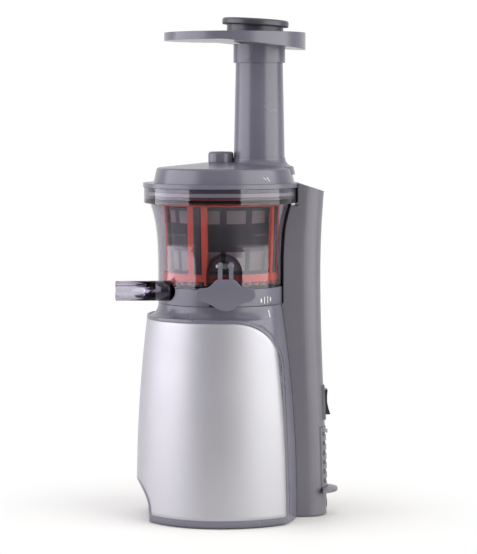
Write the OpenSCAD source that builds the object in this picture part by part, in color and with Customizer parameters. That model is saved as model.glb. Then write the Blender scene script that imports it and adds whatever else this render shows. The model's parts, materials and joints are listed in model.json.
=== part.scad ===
/* [Housing] */
// Largest radius of the motor housing, near its foot
belly_r = 73; // [68:0.5:78]
// Height of that largest radius
belly_z = 20; // [10:1:40]
// Radius of the long arc that the housing's side follows
barrel_bow = 1250; // [900:10:2000]
// Height of the shoulder, where the barrel ends
shoulder_z = 174; // [168:0.5:176]
// Height of the deck that the bowl stands on
deck_z = 185.3; // [181:0.5:188]
// Radius of the neck under the bowl
neck_r = 54; // [52:0.5:57]
// Wall of the moulded housings
wall = 2.4; // [1.8:0.1:3]
// Thickness of the silver panel
panel_t = 1.2; // [0.8:0.1:1.6]
// Height of the grey border under the silver panel
panel_z = 7; // [4:0.5:10]
// Radius of the toe recess that a cup stands in
toe_r = 38; // [34:1:42]
// Depth of the housing in front of the axis, below the toe recess
toe_y = 62.8; // [60:0.2:65]
// Height of the clear space under the base plate
foot_h = 3; // [2:0.5:6]
// Distance of the silver panel's rear edge behind the axis, at its foot
panel_y = 53.5; // [51:0.5:55]

/* [Rear column] */
// Top of the rear column at its front edge
column_z = 288; // [280:1:292]
// Half width of the column, and the radius of its rounded back
column_r = 18; // [16:0.5:20]
// Distance of the column's back from the bowl's axis at its waist
waist_y = 86; // [83:0.5:90]
// Height of the waist
waist_z = 213; // [190:1:230]
// How much further back the column's foot stands
foot_lean = 6; // [3:0.5:8]
// How much further back the column's top stands
top_lean = 3.5; // [2:0.5:5]

/* [Bowl] */
// Radius of the clear bowl above its grey ring
bowl_r = 54.2; // [53:0.1:56]
// Wall of the clear bowl
bowl_wall = 2.4; // [2:0.1:3]
// Height of the grey ring round the foot of the bowl
bowl_ring_h = 14.5; // [12:0.5:18]
// Radius of the bowl's rim band
rim_r = 66.3; // [64:0.1:68]
// Height of the rim band
rim_h = 13; // [9:0.1:15]
// Top of the rim band
rim_z = 284.4; // [276:0.2:290]
// Outer radius of the juice spout
spout_r = 8.5; // [7:0.1:10]
// Reach of the juice spout in front of the bowl's axis
spout_reach = 91; // [80:1:105]
// Distance of the spout's centre line from the bowl's axis, sideways
spout_x = 27; // [22:0.5:30]
// Width of the pulp outlet
outlet_w = 30; // [26:0.5:34]
// Top of the pulp outlet's hood
outlet_z = 230.5; // [224:0.5:236]

/* [Squeezing parts] */
// Largest radius of the auger's flights
auger_r = 38; // [34:0.5:39]
// Turns of each flight
flight_turns = 1.4; // [0.8:0.1:2]
// Radius of the strainer at its foot
strainer_foot_r = 40.5; // [40:0.1:41]
// Radius of the strainer at its rim
strainer_rim_r = 44.5; // [43:0.1:45]
// Outer radius of the spinning brush frame's lower ring
brush_r = 49.4; // [49:0.1:50]
// Number of teeth inside the brush frame's lower ring
ring_teeth = 60; // [60:1:60]
// Number of teeth on the auger's gear and on the idler
sun_teeth = 20; // [20:1:20]

/* [Lid and feed tube] */
// Radius of the lid's flange
flange_r = 67; // [66:0.1:68]
// Radius of the lid's drum at its top
drum_r = 58; // [55:0.5:60]
// Top of the lid's drum at its edge
drum_z = 301.5; // [297:0.5:304]
// Distance of the feed tube behind the bowl's axis
tube_y = 33; // [30:0.5:34]
// Outer radius of the feed tube at its foot
tube_foot_r = 22; // [21:0.1:23]
// Outer radius of the feed tube at its top
tube_top_r = 20.2; // [19:0.1:20.6]
// Radius of the feed tube's bore
tube_bore_r = 17.6; // [16:0.1:18]
// Top of the feed tube
tube_z = 401; // [380:1:420]

/* [Tray and pusher] */
// Radius of the tray
tray_r = 60.5; // [55:0.5:65]
// Distance of the tray's centre in front of the feed tube
tray_shift = 21; // [15:0.5:24]
// Height of the tray's rim above the top of the tube
tray_h = 15.5; // [13:0.5:20]
// Slope of the tray's underside behind the bowl's axis
tray_slope = 6; // [4:0.5:7]
// Radius of the pusher's cap
cap_r = 28.5; // [26:0.5:30]
// How far the cap stands forward of the pusher's rod
cap_shift = 3.5; // [0:0.5:5]
// Slope of the cap, down towards the back
cap_slope = 3.4; // [2:0.1:4]
// Radius of the pusher's rod
rod_r = 15; // [13:0.1:16]

/* [Drive] */
// Teeth of the motor's pinion
pinion_teeth = 12; // [12:1:12]
// Teeth of the large wheel that the pinion turns
wheel_teeth = 72; // [72:1:72]
// Teeth of the small gear on that wheel
step_teeth = 14; // [14:1:14]
// Teeth of the output gear
output_teeth = 70; // [70:1:70]
// Module of the gearbox's gears
gear_m = 0.7; // [0.6:0.05:0.75]
// Radius of the drive shaft
drive_r = 5; // [4:0.1:6]
// Radius of the motor's laminated core
stator_r = 40; // [36:0.5:41]
// Radius of the motor's rotor
rotor_r = 19.5; // [16:0.5:22]
// Radius of the motor's shaft
motor_shaft_r = 4; // [3:0.1:5]

/* [Fits] */
// Running clearance of a shaft in its bush
run = 0.04; // [0.02:0.01:0.09]
// Gap between a fixed part and a soft or lift-off one
gap = 0.3; // [0.3:0.05:0.5]
// Gap between two covers that meet
seam = 0.15; // [0.1:0.05:0.3]

/* [Hidden] */
$fn = 96;
// Outline steps along a curved side
STEPS = 12;
far = 200;
// The housing's sides behind the axis follow arcs whose centres lie this far across it
rear_shift = 14;
// The housing's back is an arc round a point this far in front of the axis
back_y = 50;
deck_t = 4;
base_z0 = foot_h;
base_z1 = foot_h + 4;
housing_z0 = 0.8;
// Height of the toe recess's axis
toe_z = 7.2;

// Side curves, each a radius or a reach as a function of height
function barrel_r(z) = belly_r - pow(z - belly_z, 2) / (2 * barrel_bow);
function column_back(z) = z < waist_z
    ? waist_y + foot_lean * pow(sin(90 * (waist_z - z) / waist_z), 2)
    : waist_y + top_lean * pow((z - waist_z) / (column_z - waist_z), 2);
// Where the column's front edge meets the housing
function seam_y(z) = 64.5 - 14 * pow(max(z, 0) / (deck_z + 1), 2.2);
function bowl_side(z) = bowl_r + 7 * pow((z - ring_z1) / (rim_z - rim_h - ring_z1), 3.8);
function level(z0, z1, i, n = STEPS) = z0 + (z1 - z0) * i / n;

// The bowl and its ring
ring_z0 = deck_z + gap;
ring_z1 = ring_z0 + bowl_ring_h;
ring_in = bowl_r - 3.2;
floor_z0 = ring_z0 + 2;
floor_z1 = floor_z0 + 3.5;
band_z0 = rim_z - rim_h;
// Radius of the clear bowl inside its rim, which takes the lid's skirt
rim_in = rim_r - 2.8;

// Gears under the strainer
sun_m = 1.5;
sun_r = sun_m * sun_teeth / 2;
ring_r = sun_m * ring_teeth / 2;
idler_at = 2 * sun_r;
gear_z0 = 204.5;
gear_z1 = 210;
boss_z = gear_z1 + 0.8;
pocket_r = sun_r + 2.2;
boss_r = strainer_foot_r + 0.5;

// Strainer, auger and brush
strainer_z0 = boss_z + gap;
strainer_z1 = rim_z - 15.5;
strainer_t = 1.2;
auger_z0 = strainer_z0 + 2.4 + gap;
auger_z1 = rim_z - 14;
auger_hub_r = 8.5;
auger_pin_r = 4;
auger_pin_z = auger_z1 + 11;
brush_z0 = 206;
brush_z1 = 212.2;
brush_top_z = rim_z - 7.5;
brush_top_r = 51.6;
brush_top_h = 7;
scallop_h = 3;
// The four pairs of posts stand askew to the camera side
post_turn = -26;
post_at = 6;
post_w = 5.4;
wiper_w = 2 * post_at - post_w - 0.6;

// Pulp outlet on the +X side
outlet_x = 62;
duct_w = 18;
duct_z0 = floor_z1 + 0.5;
roof_t = 2;
duct_h = brush_z0 - scallop_h - 0.6 - roof_t - duct_z0;
lever_z = 197.6;
spout_z = 197.5;
hinge_z = 221;
hinge_x = outlet_x + 7;
wing_x = outlet_x + 5.4;
wing_t = 4.6;
fork_w = 14.8;
ear_w = 5.4;

// Lid
flange_z0 = rim_z + gap;
flange_z1 = flange_z0 + 3.8;
drum_y = 2.6;
drum_z0 = flange_z1 + 2;
skirt_z = rim_z - 8.5;
tube_z0 = drum_z + 3;
// Radius of the flared boot that the tube stands in
boot_r = 29;

// Tray and pusher
tray_y = tube_y - tray_shift;
tray_z1 = tube_z + tray_h;
sleeve_z0 = tube_z - 10;
pan_z = tube_z + 8.7;
pan_t = 2.2;
cap_z = tube_z + 21.5;
cap_h = 5.6;
rod_z0 = tube_z - 84;

// Gear train: the motor and the drive shaft share the bowl's axis, and the wheel's pin stands beside it
pin_at = gear_m * (pinion_teeth + wheel_teeth) / 2;
mesh1_z = 112;
mesh2_z = 124;
gear_h = 10;
case_z0 = 101;
case_z1 = 158;
case_r = gear_m * wheel_teeth / 2 + gear_m + 2.2;
plate_r = 49;
bolt_at = 30;
hang_at = 31.5;
shaft_z0 = mesh2_z;
shaft_z1 = ring_z0 + 31;
stator_z0 = 42;
stator_z1 = 84;

// Rear details
switch_z = 98.3;
switch_h = 25.4;
switch_w = 12.8;
switch_wall = 0.8;
// The column's foot, and the slope of its top
column_z0 = 1;
top_slope = 18;
// The switch leans with the column's back
switch_lean = 2.5;
switch_y = column_back(switch_z);
bezel_out = 0.5;
rocker_in = 5.8;
cord_z = 10;
cord_r = 4.5;
vent_z0 = 25;
vent_w = 26;
vent_rows = 6;
rib_pitch = 8.2;
slot_w = 13;
vent_z1 = vent_z0 + vent_rows * rib_pitch + 3;
vent_screw_z = 72.6;
vent_screw_r = 1.1;
// How far the louvred cover stands out of the column
vent_out = 0.7;

// Round solid with a bore, standing on z0
module tube(r_out, r_in, z0, z1) {
    translate([0, 0, z0]) difference() {
        cylinder(r = r_out, h = z1 - z0);
        translate([0, 0, -1]) cylinder(r = r_in, h = z1 - z0 + 2);
    }
}

// Everything in front of or behind the plane y = at
module behind(at) { translate([-far, at, -1]) cube([2 * far, far, 2 * far + far]); }
module ahead(at) { translate([-far, at - far, -1]) cube([2 * far, far, 2 * far + far]); }

// Copies at the four corners of a square
module at_corners(d) {
    for (sx = [-1, 1], sy = [-1, 1]) translate([sx * d, sy * d, 0]) children();
}

// Half turn of an outline round the vertical axis, in front of it or behind it
module half_turn(points, rear = false) {
    rotate([0, 0, rear ? 0 : 180]) rotate_extrude(angle = 180) polygon(points);
}

// The housing's plan: a half circle in front, two wider arcs behind and a gently curved back
module housing_form(points, back = 0) {
    z_top = max([for (p = points) p[1]]);
    z_low = min([for (p = points) p[1]]);
    half_turn(points);
    intersection() {
        translate([-rear_shift, 0, 0]) rotate_extrude() polygon([for (p = points) [p[0] == 0 ? 0 : p[0] + rear_shift, p[1]]]);
        translate([rear_shift, 0, 0]) rotate_extrude() polygon([for (p = points) [p[0] == 0 ? 0 : p[0] + rear_shift, p[1]]]);
        translate([0, -back_y, 0]) rotate_extrude() polygon(back_outline(z_low, z_top, back));
        behind(0);
    }
}
function back_r(z, back) = sqrt(pow(column_r, 2) + pow(seam_y(z) + back_y, 2)) - back;
function back_outline(z0, z1, back) = concat([[0, z0]],
    [for (i = [0:STEPS]) let (z = level(z0, z1, i)) [back_r(z, back), z]], [[0, z1]]);

// Outline of the barrel and the hollow neck above it
function barrel_points(inset, z0, z1) =
    [for (i = [0:STEPS]) let (z = level(z0, z1, i)) [barrel_r(z) - inset, z]];
neck_points = [for (i = [0:6]) let (t = 15 * i)
    [neck_r + (barrel_r(shoulder_z) - 0.9 - neck_r) * (1 - sin(t)),
     deck_z - (deck_z - shoulder_z - 0.6) * cos(t)]];
housing_points = concat([[0, housing_z0], [barrel_r(housing_z0) - 1.4, housing_z0]],
    barrel_points(0, housing_z0 + 1.4, shoulder_z), neck_points, [[0, deck_z]]);
backing_points = concat([[0, -1]], barrel_points(panel_t, -1, shoulder_z + 6), [[0, shoulder_z + 6]]);
hollow_points = concat([[0, -1]], barrel_points(wall + panel_t, -1, shoulder_z - 3),
    [[neck_r - wall, deck_z - deck_t - 1], [neck_r - wall, deck_z - deck_t], [0, deck_z - deck_t]]);

// Toe recess, cut across the front of the housing
module toe_cut(grow = 0) {
    translate([-far, 0, 0]) rotate([90, 0, 90]) linear_extrude(2 * far) {
        translate([-toe_y - toe_r, toe_z]) circle(r = toe_r + grow);
        translate([-toe_y - far + grow, -1]) square([far, toe_z + 1]);
    }
}

// Side view of the silver panel's area, carried across the housing
module panel_area() {
    top_z = shoulder_z - 1.6;
    corner_z = top_z - 47;
    corner_y = panel_y - 4.5;
    corner = [for (i = [0:12]) let (t = 90 * i / 12)
        [corner_y - 41 * (1 - pow(sin(t), 0.91)), corner_z + 47 * pow(cos(t), 0.91)]];
    difference() {
        translate([-far, 0, 0]) rotate([90, 0, 90]) linear_extrude(2 * far)
            polygon(concat([[-far, panel_z], [-far, top_z]], corner, [[panel_y, panel_z]]));
        toe_cut(2);
    }
}

// Pocket for the panel: its area, less the backing that stays under it
module panel_pocket() {
    difference() {
        panel_area();
        housing_form(backing_points, -6);
    }
}

// Plan of the column at one height: straight sides and a half-round back
COLUMN_ARC = 24;
function column_ring(z, set_in) = let (r = column_r - set_in, yc = column_back(z) - column_r) concat(
    [[r, 30, z]],
    [for (i = [0:COLUMN_ARC]) let (a = 180 * i / COLUMN_ARC) [r * cos(a), yc + r * sin(a), z]],
    [[-r, 30, z]]);

// Solid through rings of points, each ring with as many points, from the lowest ring to the highest
module loft(rings) {
    n = len(rings[0]);
    m = len(rings);
    polyhedron(
        points = [for (ring = rings) for (p = ring) p],
        faces = concat([[for (k = [0:n - 1]) k]],
            [for (i = [0:m - 2]) for (k = [0:n - 1]) [n * i + (k + 1) % n, n * i + k, n * i + n + k]],
            [for (i = [0:m - 2]) for (k = [0:n - 1]) [n * i + (k + 1) % n, n * i + n + k, n * i + n + (k + 1) % n]],
            [[for (k = [n - 1:-1:0]) n * (m - 1) + k]]));
}

// Column with a rounded back; set_in is the wall that the inner form leaves
module column_form(set_in, z0, z1) {
    loft([for (i = [0:STEPS + 4]) column_ring(level(z0, z1, i, STEPS + 4), set_in)]);
}

// Space in front of the column: the bowl with air round it, and the housing below it
module column_front(set_in) {
    upper = [for (i = [0:8]) let (z = level(ring_z1, band_z0 - 3, i, 8)) [bowl_side(z) + 1.6 + set_in, z]];
    rotate_extrude() polygon(concat(
        [[0, deck_z + seam], [bowl_r + 1.6 + set_in, deck_z + seam]], upper,
        [[flange_r + 0.6 + set_in, band_z0 - 2.5], [flange_r + 0.6 + set_in, far * 2], [0, far * 2]]));
    translate([0, -back_y, 0]) rotate_extrude() polygon(concat([[0, -1]],
        [for (i = [0:STEPS]) let (z = level(-1, deck_z + seam + 0.01, i)) [back_r(max(z, 0), -seam - set_in), z]],
        [[0, deck_z + seam + 0.01]]));
}

module base_plate() {
    color("#3c3c40") difference() {
        housing_form(concat([[0, base_z0]], [[barrel_r(base_z0) - wall - panel_t - seam, base_z0],
            [barrel_r(base_z0) - wall - panel_t - seam, base_z1]], [[0, base_z1]]), wall + seam);
        toe_cut(wall + seam);
        base_screw_places() {
            translate([0, 0, -1]) cylinder(r = 1.8, h = 20);
            translate([0, 0, -1]) cylinder(r = 3.6, h = base_z0 + 3);
        }
        for (i = [-3:3]) translate([-22, 8 * i - 1.5, base_z0 - 1]) cube([44, 3, 8]);
    }
}

module base_screw_places() {
    for (a = [-32, 28, 152, 212]) rotate([0, 0, a]) translate([64.2, 0, 0]) children();
}

module foot_ring() {
    color("#2b2b2d") tube(57, 48, 0, base_z0);
}

module base_screws() {
    color("silver") base_screw_places() {
        translate([0, 0, base_z0 + 0.4]) cylinder(r = 3, h = 1.6);
        translate([0, 0, base_z0 + 1.9]) cylinder(r = 1.5, h = 12);
    }
}

module front_housing() {
    color("#74757b") difference() {
        union() {
            difference() {
                housing_form(housing_points);
                difference() {
                    housing_form(hollow_points, wall);
                    toe_cut(wall);
                }
            }
            base_screw_places() translate([0, 0, base_z1]) {
                cylinder(r = 4.4, h = 16);
                translate([0, -1.2, 0]) cube([8, 2.4, 16]);
            }
            at_corners(hang_at) translate([0, 0, case_z1]) cylinder(r = 4.5, h = deck_z - deck_t - case_z1 + 1);
        }
        toe_cut();
        panel_pocket();
        base_screw_places() translate([0, 0, base_z1 - 1]) cylinder(r = 1.55, h = 12);
        at_corners(hang_at) translate([0, 0, case_z1 - 1]) cylinder(r = 1.55, h = 16);
        translate([0, 0, deck_z - 10]) cylinder(r = 12, h = 20);
        // Opening at the back, where the column is docked
        translate([-column_r + wall + 0.6, 30, base_z1 + 2]) cube([2 * (column_r - wall - 0.6), 60, shoulder_z - 22]);
    }
}

module silver_panel() {
    color("#dddce4") intersection() {
        housing_form(housing_points);
        panel_pocket();
    }
}

module rear_column() {
    inner_z1 = column_z - 14;
    color("#6d6b72") difference() {
        column_form(0, column_z0, column_z + 4);
        column_front(0);
        // Sloping top
        translate([-far, flange_r, column_z]) rotate([-top_slope, 0, 0]) translate([0, -50, 0]) cube([2 * far, 120, 60]);
        difference() {
            column_form(wall, 4.4, inner_z1);
            difference() {
                column_front(wall);
                translate([-far, -far, -1]) cube([2 * far, 2 * far, shoulder_z - 10]);
            }
        }
        switch_hole(seam);
        vent_hole(seam);
        translate([0, 60, cord_z]) rotate([-90, 0, 0]) cylinder(r = cord_r, h = 60);
    }
}

// Children in the switch's own place: its pin at the origin, +Y outwards
module at_switch() {
    translate([0, switch_y, switch_z]) rotate([switch_lean, 0, 0])
        translate([0, bezel_out - rocker_in, 0]) children();
}

module switch_box(grow, y0, y1) {
    translate([-switch_w / 2 - grow, y0, -switch_h / 2 - grow])
        cube([switch_w + 2 * grow, y1 - y0, switch_h + 2 * grow]);
}

module switch_hole(grow) {
    at_switch() switch_box(switch_wall + grow, -14, 30);
}

module vent_hole(grow) {
    translate([-vent_w / 2 - grow, waist_y - column_r, vent_z0 - grow])
        cube([vent_w + 2 * grow, far, vent_z1 - vent_z0 + 2 * grow]);
}

// Louvred cover in the column's back: curved slats between two side rails
module vent_cover() {
    color("#66646b") difference() {
        intersection() {
            difference() {
                column_form(-vent_out, 2, shoulder_z);
                column_form(2, 2, shoulder_z);
            }
            vent_hole(0);
        }
        for (i = [0:vent_rows - 1], x = [-slot_w / 2, -vent_w / 2 + 1.6, slot_w / 2 + 1.6])
            translate([x, waist_y - column_r, vent_z0 + 3.4 + rib_pitch * i])
                cube([x == -slot_w / 2 ? slot_w : (vent_w - slot_w) / 2 - 3.2, far, rib_pitch - 4.4]);
        translate([0, 60, vent_screw_z]) rotate([-90, 0, 0]) cylinder(r = vent_screw_r, h = 60);
    }
}

module vent_screw() {
    surface_y = column_back(vent_screw_z);
    color("#55545a") translate([0, 0, vent_screw_z]) rotate([-90, 0, 0]) {
        translate([0, 0, surface_y - 5]) cylinder(r = vent_screw_r, h = 5.8);
        translate([0, 0, surface_y + 0.75]) cylinder(r = 1.8, h = 1.3);
    }
}

// Frame round the rocker: a flange on the column's back and a sleeve through its wall
module switch_bezel() {
    color("#6d6b72") difference() {
        union() {
            at_switch() switch_box(switch_wall, 1, rocker_in - 0.5);
            difference() {
                at_switch() switch_box(2.2, 1.5, rocker_in);
                column_form(0, switch_z - 26, switch_z + 26);
            }
        }
        at_switch() switch_box(0, 0, 30);
    }
}

module switch_body() {
    color("#26252a") at_switch() {
        difference() {
            switch_box(switch_wall, -12, 1);
            switch_box(0, -7, 2);
        }
        translate([-switch_w / 2 - 0.1, 0, 0]) rotate([0, 90, 0]) cylinder(r = 1.5, h = switch_w + 0.2);
    }
}

// Rocker with a hollow face, turning on a cross pin
module rocker() {
    w = switch_w - 0.8;
    low = rocker_in + 4.3;
    high = rocker_in + 2.8;
    color("#1c1b20") at_switch() translate([-w / 2, 0, 0]) rotate([90, 0, 90]) linear_extrude(w)
        difference() {
            polygon([[-2.6, -3], [0.5, -11], [low, -10.8], [low - 1.5, -5.4], [high - 0.9, 0],
                [high - 0.7, 5.4], [high, 10.8], [0.5, 11], [-2.6, 3]]);
            circle(r = 1.5 + run);
        }
}

// Half-round hook over the cord's way out, thinner towards its tip
module cord_guard() {
    tip_r = 22;
    color("#6d6b72") difference() {
        intersection() {
            translate([0, column_back(cord_z) - 12.5, 0]) rotate_extrude()
                polygon([[0, 18.6], [9, 18.9], [tip_r, 20.9], [tip_r, 23.4], [9, 26.2], [0, 26.4]]);
            behind(column_back(cord_z) - 5);
        }
        column_form(-0.05, 2, 40);
        translate([0, 60, cord_z]) rotate([-90, 0, 0]) cylinder(r = cord_r + gap, h = 60);
        // Notch for the foot of the louvred cover
        translate([-vent_w / 2 - seam, 60, vent_z0 - seam])
            cube([vent_w + 2 * seam, column_back(cord_z) + vent_out + seam - 60, 10]);
    }
}

module cord_inlet() {
    inner_y = column_back(cord_z) - wall;
    color("#1f1f22") difference() {
        union() {
            translate([0, inner_y - 2, cord_z]) rotate([-90, 0, 0]) cylinder(r = cord_r, h = wall + 2);
            translate([0, inner_y - 3.2, cord_z]) rotate([-90, 0, 0]) cylinder(r = cord_r + 1, h = 2);
        }
        translate([0, 60, cord_z]) rotate([-90, 0, 0]) cylinder(r = 2.6, h = 60);
    }
}

module run_capacitor() {
    color("#c9c6bd") translate([0, column_back(0) - 15.6, 4.4]) cylinder(r = 9.5, h = 44);
}

module motor_mounts() {
    color("#2b2b2d") at_corners(bolt_at) tube(6.5, 2.1, base_z1, 24);
}

module lower_bracket() {
    color("#b5b6ba") difference() {
        union() {
            intersection() {
                tube(plate_r + 4, 6, 24, 28);
                union() {
                    rotate([0, 0, 45]) translate([-60, -9, 20]) cube([120, 18, 20]);
                    rotate([0, 0, -45]) translate([-60, -9, 20]) cube([120, 18, 20]);
                    cylinder(r = 20, h = 60);
                }
            }
            tube(12, 7, 24, 32);
            at_corners(bolt_at) translate([0, 0, 24]) cylinder(r = 5.5, h = stator_z0 - 24);
        }
        at_corners(bolt_at) translate([0, 0, 20]) cylinder(r = 2.1, h = 30);
        translate([0, 0, 20]) cylinder(r = 7, h = 20);
    }
}

module stator_core() {
    color("#8b8c90") difference() {
        union() {
            translate([0, 0, stator_z0]) cylinder(r = stator_r, h = stator_z1 - stator_z0);
            at_corners(bolt_at) translate([0, 0, stator_z0]) cylinder(r = 5.5, h = stator_z1 - stator_z0);
        }
        translate([0, 0, stator_z0 - 1]) cylinder(r = rotor_r + 0.5, h = 60);
        at_corners(bolt_at) translate([0, 0, stator_z0 - 1]) cylinder(r = 2.1, h = 60);
        for (i = [0:11]) rotate([0, 0, 30 * i]) translate([rotor_r + 3, -2.5, stator_z0 - 1]) cube([11, 5, 60]);
    }
}

// Copper end turns above and below the core, joined by the bars in its slots
module stator_windings() {
    color("#b4652d") {
        tube(stator_r - 4, rotor_r + 3, stator_z0 - 8, stator_z0);
        tube(stator_r - 4, rotor_r + 3, stator_z1, stator_z1 + 8);
        for (i = [0:11]) rotate([0, 0, 30 * i]) translate([rotor_r + 3.2, -2.3, stator_z0 - 1])
            cube([10.6, 4.6, stator_z1 - stator_z0 + 2]);
    }
}

module motor_bolts() {
    color("silver") at_corners(bolt_at) {
        translate([0, 0, 21]) cylinder(r = 2, h = case_z0 + 4 - 21);
    }
}

module motor_bushes() {
    color("#b08d57") {
        tube(7, motor_shaft_r + run, 24, 32);
        tube(7, motor_shaft_r + run, case_z0, case_z0 + 7);
    }
}

module gearbox_plan(r) {
    circle(r = r);
    translate([-pin_at, 0]) circle(r = r);
    translate([-pin_at, -r]) square([pin_at, 2 * r]);
}

module gearbox_case() {
    color("#d9d8d2") difference() {
        union() {
            translate([0, 0, case_z0]) cylinder(r = plate_r, h = 4);
            at_corners(bolt_at) translate([0, 0, stator_z1]) cylinder(r = 5.5, h = case_z0 - stator_z1 + 1);
            translate([0, 0, case_z0]) linear_extrude(case_z1 - 4 - case_z0) gearbox_plan(case_r);
        }
        translate([0, 0, case_z0 + 7]) linear_extrude(60) gearbox_plan(case_r - 2);
        at_corners(bolt_at) translate([0, 0, stator_z1 - 1]) cylinder(r = 2.1, h = case_z0 + 6 - stator_z1);
        translate([0, 0, case_z0 - 1]) cylinder(r = 7, h = 30);
        translate([-pin_at, 0, case_z0 + 3]) cylinder(r = 2.5, h = 20);
    }
}

module gearbox_cover() {
    hub_z0 = mesh2_z + gear_h + 3;
    color("#d9d8d2") difference() {
        union() {
            translate([0, 0, case_z1 - 4]) linear_extrude(4) gearbox_plan(case_r);
            translate([0, 0, case_z1 - 4]) cylinder(r = plate_r, h = 4);
            translate([0, 0, hub_z0]) cylinder(r = 12, h = deck_z - deck_t - hub_z0);
            translate([-pin_at, 0, hub_z0 + 3]) cylinder(r = 5, h = case_z1 - hub_z0 - 4);
        }
        translate([0, 0, 100]) cylinder(r = 8.5, h = 100);
        at_corners(hang_at) translate([0, 0, 150]) cylinder(r = 1.8, h = 20);
        translate([-pin_at, 0, 120]) cylinder(r = 2.5, h = 34);
    }
}

module gearbox_screws() {
    color("silver") at_corners(hang_at) {
        translate([0, 0, case_z1 - 6]) cylinder(r = 3, h = 2);
        translate([0, 0, case_z1 - 4.5]) cylinder(r = 1.5, h = 14);
    }
}

module wheel_pin() {
    color("silver") translate([-pin_at, 0, case_z0 + 3]) cylinder(r = 2.5, h = 154 - case_z0 - 3);
}

module output_bushes() {
    hub_z0 = mesh2_z + gear_h + 3;
    color("#b08d57") {
        tube(8.5, drive_r + run, hub_z0, hub_z0 + 9);
        tube(8.5, drive_r + run, deck_z - deck_t - 12, deck_z - deck_t - 2);
    }
}

module shaft_seal() {
    color("#3a3a3d") tube(12, drive_r + gap, deck_z - deck_t, deck_z - 0.5);
}

// Spur gear with straight flanks: outer, pitch and root radii follow from the module
module spur_points(teeth, m, h, bore, phase = 0, thick = 0.42) {
    r_tip = m * (teeth / 2 + 0.9);
    r_root = m * (teeth / 2 - 1.2);
    step = 360 / teeth;
    linear_extrude(h) difference() {
        polygon([for (i = [0:teeth - 1]) for (k = [
            [r_root, -0.36], [r_tip, -0.5 * thick * 0.55], [r_tip, 0.5 * thick * 0.55], [r_root, 0.36]])
            [k[0] * cos(phase + step * (i + k[1])), k[0] * sin(phase + step * (i + k[1]))]]);
        if (bore > 0) circle(r = bore);
    }
}

module rotor_core() {
    color("#9a9ba0") tube(rotor_r, motor_shaft_r, stator_z0, stator_z1);
}

module motor_shaft() {
    color("silver") {
        translate([0, 0, 9]) cylinder(r = motor_shaft_r, h = mesh1_z - 2 - 9);
        translate([0, 0, mesh1_z - 2.1]) cylinder(r = 2, h = gear_h + 2);
    }
}

module cooling_fan() {
    color("#2f2f33") {
        rotate_extrude() polygon([[motor_shaft_r, 12], [8, 12], [8, 20], [29, 20], [29, 21.5], [motor_shaft_r, 21.5]]);
        for (i = [0:8]) rotate([0, 0, 40 * i]) translate([7, -0.8, 12.6]) cube([21, 1.6, 8]);
    }
}

module motor_pinion() {
    color("#b9b9bd") translate([0, 0, mesh1_z])
        spur_points(pinion_teeth, gear_m, gear_h, 2);
}

// Wheel and small gear in one moulding, running on the pin
module step_wheel() {
    color("#e6e3d6") translate([-pin_at, 0, 0]) {
        translate([0, 0, mesh1_z + 1])
            spur_points(wheel_teeth, gear_m, gear_h - 2, 2.5 + run, 180 / wheel_teeth);
        translate([0, 0, mesh1_z + gear_h - 1.5])
            spur_points(step_teeth, gear_m, mesh2_z + gear_h + 1 - mesh1_z - gear_h + 1.5, 2.5 + run);
    }
}

module output_gear() {
    color("#e6e3d6") translate([0, 0, mesh2_z])
        spur_points(output_teeth, gear_m, gear_h, drive_r, 180 / output_teeth);
}

module drive_shaft() {
    color("silver") {
        translate([0, 0, shaft_z0]) cylinder(r = drive_r, h = ring_z0 + 3 - shaft_z0);
        translate([0, 0, ring_z0 + 2.9]) cylinder(r = drive_r, h = shaft_z1 - ring_z0 - 2.9, $fn = 6);
    }
}

// Arch-shaped section of the pulp outlet, lying in the plane across X
module outlet_arch(w, z0, z1) {
    translate([-w / 2, z0]) square([w, z1 - w / 2 - z0]);
    translate([0, z1 - w / 2]) circle(r = w / 2);
}

module along_x(x0, x1) {
    translate([x0, 0, 0]) rotate([90, 0, 90]) linear_extrude(x1 - x0) children();
}

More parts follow.
